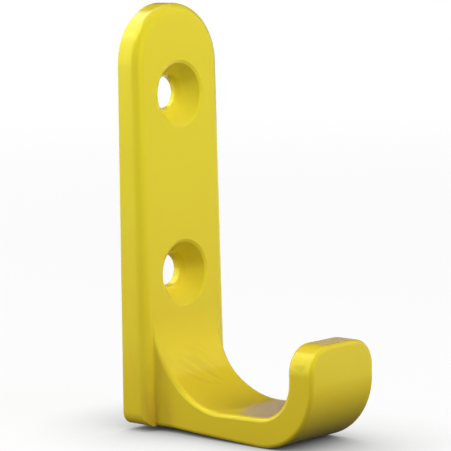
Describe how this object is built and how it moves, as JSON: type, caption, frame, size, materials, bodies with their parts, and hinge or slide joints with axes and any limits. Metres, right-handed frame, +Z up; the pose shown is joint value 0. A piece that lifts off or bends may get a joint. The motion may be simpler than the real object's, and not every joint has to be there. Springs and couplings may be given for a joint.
{
  "type": "j hook",
  "caption": "One-piece cast J hook: a round-topped wall plate with countersunk screw holes, and a wide arm that leaves its foot and turns up at the tip.",
  "frame": {"origin": "on the flat wall face, midway between the two screw holes", "axes": "+Z up the plate, +Y into the wall, so the arm reaches out towards -Y; X runs across the plate"},
  "size_m": [0.0204, 0.039, 0.0709],
  "materials": {
    "yellow_paint": "glossy yellow paint over a casting, with slight orange peel"
  },
  "bodies": {
    "root": {"j_hook": "yellow_paint"}
  },
  "joints": []
}
